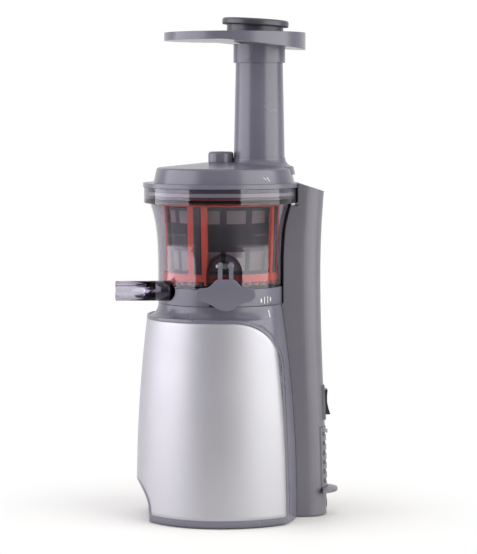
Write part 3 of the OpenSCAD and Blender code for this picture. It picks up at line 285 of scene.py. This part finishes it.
def finishes():
    """One material for each slot of the record, and one for the spout's collar."""
    return {
        "grey_plastic": plastic("grey_plastic", (0.132, 0.130, 0.160), 0.28),
        "lid_plastic": plastic("lid_plastic", (0.132, 0.130, 0.160), 0.26),
        "column_plastic": plastic("column_plastic", (0.140, 0.132, 0.152), 0.34),
        "pusher_plastic": plastic("pusher_plastic", (0.055, 0.052, 0.065), 0.34),
        "dark_plastic": plastic("dark_plastic", (0.045, 0.045, 0.05), 0.45),
        "black_plastic": plastic("black_plastic", (0.012, 0.011, 0.014), 0.32),
        "white_plastic": plastic("white_plastic", (0.70, 0.69, 0.64), 0.5),
        "strainer_plastic": plastic("strainer_plastic", (0.012, 0.009, 0.018), 0.4),
        "auger_plastic": plastic("auger_plastic", (0.05, 0.042, 0.05), 0.35),
        "orange_plastic": plastic("orange_plastic", (0.90, 0.085, 0.030), 0.32),
        "gear_nylon": plastic("gear_nylon", (0.72, 0.69, 0.58), 0.45),
        "silver_paint": plastic("silver_paint", (0.425, 0.42, 0.44), 0.50, grain=0.10, grain_mm=0.6,
                                mottle=0.01, metallic=0.75),
        "smoky_clear": clear_plastic("smoky_clear", (0.42, 0.37, 0.46), 2.4, 0.60),
        "smoky_spout": clear_plastic("smoky_spout", (0.42, 0.37, 0.50), 4.9, 0.72),
        "spout_collar": plastic("spout_collar", (0.014, 0.010, 0.022), 0.16, grain=0, mottle=0),
        "rubber": plastic("rubber", (0.03, 0.03, 0.032), 0.75),
        "silicone": plastic("silicone", (0.60, 0.59, 0.56), 0.55),
        "wiper_silicone": plastic("wiper_silicone", (0.035, 0.028, 0.045), 0.5),
        "steel": metal("steel", (0.55, 0.55, 0.56), 0.3, brushed=True),
        "mesh_steel": woven_mesh("mesh_steel", (0.38, 0.335, 0.32), 0.7),
        "aluminium": metal("aluminium", (0.62, 0.62, 0.64), 0.4),
        "bronze": metal("bronze", (0.50, 0.33, 0.14), 0.4),
        "copper": metal("copper", (0.60, 0.26, 0.11), 0.35, brushed=True),
    }


def dress_nodes(materials):
    """Every CAD node shows its slot's finish."""
    for part in frame["record"]["subparts"]:
        mesh = frame["nodes"][part["node"]].data
        mesh.materials.clear()
        mesh.materials.append(materials[part["material_slot"]])


# From here on lengths are in millimetres: the housing's curves as its solids have them
BELLY_R, BELLY_Z, BARREL_BOW = 73.0, 20.0, 1250.0
DECK_Z, NECK_R, SHOULDER_Z = 185.3, 54.0, 174.0
REAR_SHIFT, BACK_Y, COLUMN_R = 14.0, 50.0, 18.0
TOE_Y, TOE_R, TOE_Z = -100.8, 38.0, 7.2
PANEL_LOW, PANEL_TOP, PANEL_T = 7.0, 172.3, 1.2
CORNER_Y, CORNER_Z, CORNER_POWER = 5.0, 128.0, 2.2
RIM_W = 3.1
WALL = 3.6
# Depth of the housing's back at the foot, and how much of it is gone at the deck
BACK_DEPTH, BACK_TAPER = 64.5, 14.0
# The spout's line, the lever's plate and how far it stands off the middle, and the bowl ring
SPOUT_X, SPOUT_Z, SPOUT_BORE = 27.0, 197.5, 4.2
PLATE_BACK, PLATE_FRONT, LEVER_SHIFT = 67.4, 72.0, 0.7
RING_R = 54.2
# Height of printed marks over their wall, and the radius at which their widths are laid off
MARK_LIFT, MARK_ARC_R = 0.07, 58.0


def barrel(z):
    """Radius of the housing at a height: a long arc that is widest near the foot."""
    return BELLY_R - (z - BELLY_Z) ** 2 / (2 * BARREL_BOW)


def wall_at(angle, radius, z):
    """Distance of the wall from the axis: a circle in front, wider arcs behind, and a gently curved back.

    The corner between the arcs and the back is rounded by a soft minimum of the two distances.
    """
    c, s = np.abs(np.cos(angle)), np.sin(angle)
    side = -REAR_SHIFT * c + np.sqrt((radius + REAR_SHIFT) ** 2 - (REAR_SHIFT * s) ** 2)
    depth = BACK_DEPTH - BACK_TAPER * (np.maximum(z, 0) / (DECK_Z + 1)) ** 2.2
    back_r = np.hypot(COLUMN_R, depth + BACK_Y)
    back = -BACK_Y * s + np.sqrt(np.maximum(back_r ** 2 - (BACK_Y * c) ** 2, 0))
    soft = 1.5 + 4.0 * ease((z - 145) / 25)
    near = np.clip(0.5 + (back - side) / (2 * soft), 0, 1)
    return np.where(s > 0, back * (1 - near) + side * near - soft * near * (1 - near), radius)


def solve(low, high, is_low):
    """Halve the span between low and high until is_low(x) changes from true to false within it."""
    for _ in range(40):
        middle = (low + high) / 2
        below = is_low(middle)
        low, high = np.where(below, middle, low), np.where(below, high, middle)
    return (low + high) / 2


def angle_at(y, radius, z):
    """Angle on the +X side at which the wall passes a given y."""
    return solve(np.full_like(y, -np.pi / 2), np.full_like(y, np.pi / 2),
                 lambda a: wall_at(a, radius, z) * np.sin(a) < y)


def beyond_panel(y, z):
    """Distance outside the silver panel's edge seen from the side: level top, power curve, leaning rear."""
    a, b = panel_rear(CORNER_Z) - CORNER_Y, PANEL_TOP - CORNER_Z
    round_part = (np.maximum((y - CORNER_Y) / a, 0) ** CORNER_POWER
                  + np.maximum((z - CORNER_Z) / b, 0) ** CORNER_POWER) ** (1 / CORNER_POWER)
    return np.where(z > CORNER_Z, (round_part - 1) * b, y - panel_rear(z))


def panel_rear(z):
    """How far behind the axis the panel's rear edge stands."""
    return 53.8 - 0.0255 * z - 1.0e-4 * z ** 2


def ease(t):
    """Smooth step from 0 to 1."""
    t = np.clip(t, 0, 1)
    return t * t * (3 - 2 * t)


def grid(x, y, z, wrap_u=False, wrap_v=False, flip=False):
    """Points and quads of a surface given as three arrays over its two parameters."""
    rows, columns = x.shape
    points = np.stack([x, y, z], axis=-1).reshape(-1, 3)
    i, j = np.meshgrid(np.arange(rows if wrap_u else rows - 1),
                       np.arange(columns if wrap_v else columns - 1), indexing="ij")
    i1, j1 = (i + 1) % rows, (j + 1) % columns
    corners = [i * columns + j, i * columns + j1, i1 * columns + j1, i1 * columns + j]
    return points, np.stack(corners[::-1] if flip else corners, axis=-1).reshape(-1, 4)


def make_piece(name, body, material, *grids):
    """One object of one or more grids, from millimetres to metres, that rides on a body."""
    starts = np.cumsum([0] + [len(points) for points, _ in grids])
    points = np.concatenate([points for points, _ in grids]) / 1000
    faces = np.concatenate([quads + start for (_, quads), start in zip(grids, starts)])
    mesh = bpy.data.meshes.new(name)
    mesh.from_pydata(points.tolist(), [], faces.tolist())
    mesh.shade_smooth()
    mesh.materials.append(material)
    piece = bpy.data.objects.new(name, mesh)
    bpy.context.collection.objects.link(piece)
    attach(piece, body)
    return piece


def neck(angle, z):
    """Radius of the housing under the raised panel: a hollow neck in front that flows into the sides."""
    arc = np.clip((DECK_Z - z) / (DECK_Z - SHOULDER_Z - 0.6), 0, 1)
    front = NECK_R + (barrel(SHOULDER_Z) - 0.9 - NECK_R) * (1 - np.sqrt(1 - arc ** 2))
    low = 118.0
    flow = barrel(z) - (barrel(DECK_Z) - NECK_R) * (np.maximum(z - low, 0) / (DECK_Z - low)) ** 2.3
    y = wall_at(angle, flow, z) * np.sin(angle)
    side = ease((y - 12) / 24)
    raised = 1 - ease((beyond_panel(y, z) - 1.0) / 1.6)
    return (front * (1 - side) + flow * side) * (1 - raised) + barrel(z) * raised


def housing_shell():
    """Housing as a closed wall, up the outside, over the deck and down the inside at each angle.

    In front, the toe recess cuts it: the distance is the smaller of the wall's and the recess's.
    """
    angle = np.linspace(-np.pi, np.pi, 432, endpoint=False)[None, :]
    s = np.sin(angle)

    def toe(z):
        depth = TOE_Y + np.sqrt(np.maximum(TOE_R ** 2 - np.maximum(z - TOE_Z, 0) ** 2, 0))
        return np.where(s < -0.5, depth / np.minimum(s, -0.5), 1000.0)

    low, foot = 0.8, 2.2
    edge = solve(np.full_like(angle, foot), np.full_like(angle, TOE_Z + TOE_R),
                 lambda z: toe(z) < barrel(z))
    t = np.linspace(0, 1, 30)[:, None]
    recess = low + (edge - low) * t
    body = edge + (SHOULDER_Z - 4 - edge) * np.linspace(0, 1, 60)[1:, None]
    rise = np.sin(np.linspace(0, np.pi / 2, 34)[1:, None])
    top = SHOULDER_Z - 4 + (DECK_Z - SHOULDER_Z + 4) * rise
    z = np.concatenate([recess, body, top + 0 * angle])
    chamfer = 1.4 * np.clip((foot - z) / (foot - low), 0, 1)
    outside = np.minimum(wall_at(angle, neck(angle, z) - chamfer, z), toe(z))
    deck_r = np.array([40.0, 14.0, 12.0])[:, None] + 0 * angle
    deck_z = np.array([DECK_Z, DECK_Z, DECK_Z - 0.6])[:, None] + 0 * angle
    under_r = np.array([12.0, 40.0, NECK_R - 3.2])[:, None] + 0 * angle
    under_z = np.full_like(under_r, DECK_Z - 4.0)
    inner_z = np.linspace(SHOULDER_Z - 6, low, 16)[:, None] + 0 * angle
    inner_r = np.minimum(wall_at(angle, neck(angle, inner_z), inner_z), toe(inner_z)) - WALL
    r = np.concatenate([outside, deck_r, under_r, inner_r])
    z = np.concatenate([z, deck_z, under_z, inner_z])
    return grid(r * np.cos(angle), r * s, z, wrap_u=True, wrap_v=True)


def panel_edge(n_rear=60, n_corner=48, n_top=60):
    """Edge of the panel on the +X side from the rear foot: y, z and the outward direction from the side."""
    z1 = np.linspace(PANEL_LOW, CORNER_Z, n_rear, endpoint=False)
    t = np.linspace(0, np.pi / 2, n_corner, endpoint=False)
    a, b = panel_rear(CORNER_Z) - CORNER_Y, PANEL_TOP - CORNER_Z
    y2 = CORNER_Y + a * np.cos(t) ** (2 / CORNER_POWER)
    z2 = CORNER_Z + b * np.sin(t) ** (2 / CORNER_POWER)
    sweep = np.sin(np.linspace(0, np.pi / 2, n_top))
    y3 = CORNER_Y - (CORNER_Y + barrel(PANEL_TOP) - 1e-6) * sweep
    y = np.concatenate([panel_rear(z1), y2, y3])
    z = np.concatenate([z1, z2, np.full(n_top, PANEL_TOP)])
    dy, dz = np.gradient(y), np.gradient(z)
    dy[-n_top + 1:], dz[-n_top + 1:] = -1.0, 0.0
    length = np.hypot(dy, dz)
    return y, z, dz / length, -dy / length


def panel_rim():
    """Grey rim round the panel's top and rear edges: a rounded strip carried along them on both sides."""
    y, z, out_y, out_z = panel_edge()
    turn = np.linspace(0, np.pi, 11)
    swing = np.sign(np.cos(turn)) * np.abs(np.cos(turn)) ** 0.5
    across = np.concatenate([RIM_W / 2 - (RIM_W / 2) * swing, [RIM_W, 0]])
    height = np.concatenate([0.75 * np.sin(turn) ** 0.6 - 0.3, [-1.6, -1.6]])
    rim_y = y[:, None] + across[None, :] * out_y[:, None]
    rim_z = z[:, None] + across[None, :] * out_z[:, None]
    front = rim_y <= -barrel(rim_z) + 1e-3
    angle = np.where(front, -np.pi / 2, angle_at(rim_y, barrel(rim_z), rim_z))
    r = wall_at(angle, barrel(rim_z) + height[None, :], rim_z)
    x, y, z = r * np.cos(angle), r * np.sin(angle), rim_z
    x, y, z = (np.concatenate([v, w[-2::-1]]) for v, w in ((x, -x), (y, y), (z, z)))
    return grid(x, y, z, wrap_v=True)


def silver_shell():
    """Silver panel: columns from its lower edge, which goes round the toe recess, to its upper edge."""
    y, z_top, _, _ = panel_edge(n_top=120)
    front = y <= -barrel(z_top) + 1e-3
    angle = np.where(front, -np.pi / 2, angle_at(y, barrel(z_top), z_top))
    cut = 2.0 + TOE_R
    z_low = solve(np.full_like(angle, PANEL_LOW), np.full_like(angle, TOE_Z + cut),
                  lambda z: (np.hypot(barrel(z) * np.sin(angle) - TOE_Y,
                                      np.maximum(z - TOE_Z, 0)) < cut) & (np.sin(angle) < 0))
    z_low = np.minimum(z_low, z_top)
    height = (z_top - z_low)[:, None]
    edge = np.minimum(0.5, height / 4)
    between = edge + (height - 2 * edge) * np.linspace(0, 1, 58)[None, :]
    z_out = z_low[:, None] + np.concatenate([0 * edge, between, height], axis=1)
    z = np.concatenate([z_out, z_out[:, ::-1]], axis=1)
    level = np.concatenate([np.full(60, 0.15), np.full(60, 0.15 - PANEL_T)])[None, :]
    level = level - 0.3 * np.isin(np.arange(120), (0, 59))[None, :]
    r = wall_at(angle[:, None] + 0 * z, barrel(z) + level, z)
    x, y = r * np.cos(angle)[:, None], r * np.sin(angle)[:, None]
    x, y, z = (np.concatenate([v, w[-2::-1]]) for v, w in ((x, -x), (y, y), (z, z)))
    return grid(x, y, z, wrap_v=True)


def turned(radius, along, turns=72):
    """Closed profile, as radii and places along Y, turned round the spout's line."""
    turn = np.linspace(0, 2 * np.pi, turns, endpoint=False)[None, :]
    radius, along = np.array(radius)[:, None], np.array(along)[:, None]
    return grid(SPOUT_X + radius * np.sin(turn), along + 0 * turn, SPOUT_Z + radius * np.cos(turn),
                wrap_u=True, wrap_v=True)


def spout_form():
    """Juice spout: a round tube with a rolled mouth and a narrow bore."""
    r, bore, mouth, root = 8.5, SPOUT_BORE, -91.0, -50.0
    roll = np.linspace(0, np.pi / 2, 6)
    inner, outer = 0.8, 1.0
    radius = [bore, *(bore + inner - inner * np.cos(roll)), *(r - outer + outer * np.sin(roll)), r]
    along = [root, *(mouth + inner - inner * np.sin(roll)), *(mouth + outer - outer * np.cos(roll)), root]
    return turned(radius, along)


def spout_root():
    """Dark collar of the spout, from the bowl's wall outwards, with a rounded inner end."""
    roll = np.linspace(0, np.pi / 2, 7)
    r, bore, fillet, front, root = 8.58, 4.0, 3.0, -57.0, -43.4
    radius = [bore, r, *(r - fillet + fillet * np.cos(roll)), bore]
    along = [front, front, *(root - fillet + fillet * np.sin(roll)), root]
    return turned(radius, along)


def slab(y, z, near, far, edge, centre):
    """Flat piece across X with rounded edges: an outline in Y and Z, carried from near to far."""
    dy, dz = np.roll(y, -1) - np.roll(y, 1), np.roll(z, -1) - np.roll(z, 1)
    length = np.hypot(dy, dz)
    out_y, out_z = dz / length, -dy / length
    turn = np.linspace(0, np.pi / 2, 5)
    drawn = np.concatenate([[0], edge * (1 - np.sin(turn)), edge * (1 - np.cos(turn)), [0]])
    x = np.concatenate([[near], near + edge * (1 - np.cos(turn)),
                        far - edge * (1 - np.sin(turn)), [far]])
    ring_y = y[None, :] - drawn[:, None] * out_y[None, :]
    ring_z = z[None, :] - drawn[:, None] * out_z[None, :]
    ring_y[[0, -1]], ring_z[[0, -1]] = centre[0], centre[1]
    return grid(x[:, None] + 0 * ring_y, ring_y, ring_z, wrap_v=True)


def lever_form():
    """Pulp lever: a plate with two wings, and the two arms of its fork.

    The plate's upper edge falls from the neck as a bell curve, its lower edge rises from the foot as
    another, and both end in a round tip.
    """
    centre_z, hinge_z, tip, reach = 197.6, 221.0, 5.0, 25.2
    t = np.linspace(0, np.pi, 81)
    y = reach * np.cos(t)
    out = np.abs(y)
    close = np.sqrt(1 - (np.maximum(out - reach + tip, 0) / tip) ** 2)
    low = -(5.2 + 8.8 * np.exp(-(out / 13.0) ** 2)) * close
    high = (5.2 + 7.4 * np.exp(-(np.maximum(out - 6.3, 0) / 5.5) ** 2)) * close
    outline_y = LEVER_SHIFT + np.concatenate([y[::-1], y[1:-1]])
    outline_z = centre_z + np.concatenate([low[::-1], high[1:-1]])
    wings = slab(outline_y, outline_z, PLATE_BACK, PLATE_FRONT, 0.8, (0.0, centre_z))

    hinge_x, hinge_r, arm_inner, arm_outer, arm_foot = 69.0, 3.3, 2.7, 6.4, 207.0
    back, front = PLATE_BACK + 0.3, PLATE_FRONT - 0.3
    turn = np.linspace(-0.5, np.pi + 0.9, 24)
    x = np.concatenate([hinge_x + hinge_r * np.cos(turn), [back, back, front, front]])
    z = np.concatenate([hinge_z + hinge_r * np.sin(turn), [hinge_z - 4, arm_foot, arm_foot, hinge_z - 4]])
    points, quads = slab(x, z, arm_inner, arm_outer, 0.6, (69.7, 212.0))
    arms = [(np.stack([points[:, 1], LEVER_SHIFT + side * points[:, 0], points[:, 2]], axis=-1),
             quads if side < 0 else quads[:, ::-1]) for side in (-1, 1)]
    return [wings] + arms


def mark(angle, height, half_w, half_h, radius, lean=0.0, centre_y=0.0, blunt=0.0):
    """Small printed mark on an upright wall: a rectangle that blunt rounds towards an ellipse."""
    u, v = np.meshgrid(np.linspace(-1, 1, 9), np.linspace(-1, 1, 9), indexing="ij")
    across = half_w * u * np.sqrt(1 - blunt * v ** 2 / 2)
    z = height + half_h * v * np.sqrt(1 - blunt * u ** 2 / 2)
    a = angle + (across + lean * (z - height)) / MARK_ARC_R
    r = radius(a, z) + MARK_LIFT
    return grid(r * np.cos(a), centre_y + r * np.sin(a), z, flip=True)


def add_marks(material):
    """Alignment marks: dots and bars on the bowl's ring, a line on the housing, two strokes on the lid."""
    def ring(a, z):
        return RING_R + 0 * a

    def housing(a, z):
        return wall_at(a, neck(a, z), z)

    def drum(a, z):
        return 60.8 - (z - 287.5) * 0.22

    turn = math.radians(36.4)
    dot, bar = (0.95, 2.0, ring), (0.45, 2.9, ring)
    make_piece("ring_marks", "bowl", material,
               mark(turn, 190.0, *dot, blunt=1.0), mark(turn + 0.066, 190.2, *bar),
               mark(turn + 0.136, 190.5, *bar), mark(turn + 0.203, 190.7, *dot, blunt=1.0))
    make_piece("housing_mark", "base", material,
               mark(math.radians(41.0), 179.2, 0.5, 2.9, housing, lean=0.02))
    make_piece("lid_marks", "lid", material,
               mark(math.radians(36.0), 292.6, 0.4, 1.9, drum, lean=-0.5, centre_y=2.6),
               mark(math.radians(32.5), 293.2, 0.35, 1.2, drum, lean=-1.2, centre_y=2.6))


def finish_pieces(materials):
    """The smooth pieces stand in for the nodes that they finish."""
    grey = materials["grey_plastic"]
    shell = make_piece("housing_shell", "base", grey, housing_shell())
    make_piece("panel_rim", "base", grey, panel_rim())
    panel = make_piece("silver_shell", "base", materials["silver_paint"], silver_shell())
    spout = make_piece("spout_form", "bowl", materials["smoky_spout"], spout_form())
    make_piece("spout_root", "bowl", materials["spout_collar"], spout_root())
    lever = make_piece("lever_form", "lever", materials["lid_plastic"], *lever_form())
    for piece, node in ((shell, "front_housing"), (panel, "silver_panel"),
                        (spout, "juice_spout"), (lever, "pulp_lever")):
        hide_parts(node)
    add_marks(materials["white_plastic"])


make_camera()
make_world()
make_floor()
softbox = {"distance": 1.6, "height": 0.50, "width": 2.1, "tall": 1.6}
make_lamp("softbox_right", azimuth=CAMERA_SIDE + 63, glow=BOX_GLOW * 0.95, **softbox)
make_lamp("softbox_left", azimuth=CAMERA_SIDE - 80, glow=BOX_GLOW, colour=COOL, **softbox)
make_lamp("top_soft", azimuth=CAMERA_SIDE, distance=0.2, height=2.2, width=1.6, tall=1.6, glow=0.8,
          tilt=math.radians(85))
materials = finishes()
dress_nodes(materials)
finish_pieces(materials)

bpy.context.scene.view_settings.view_transform = "Standard"
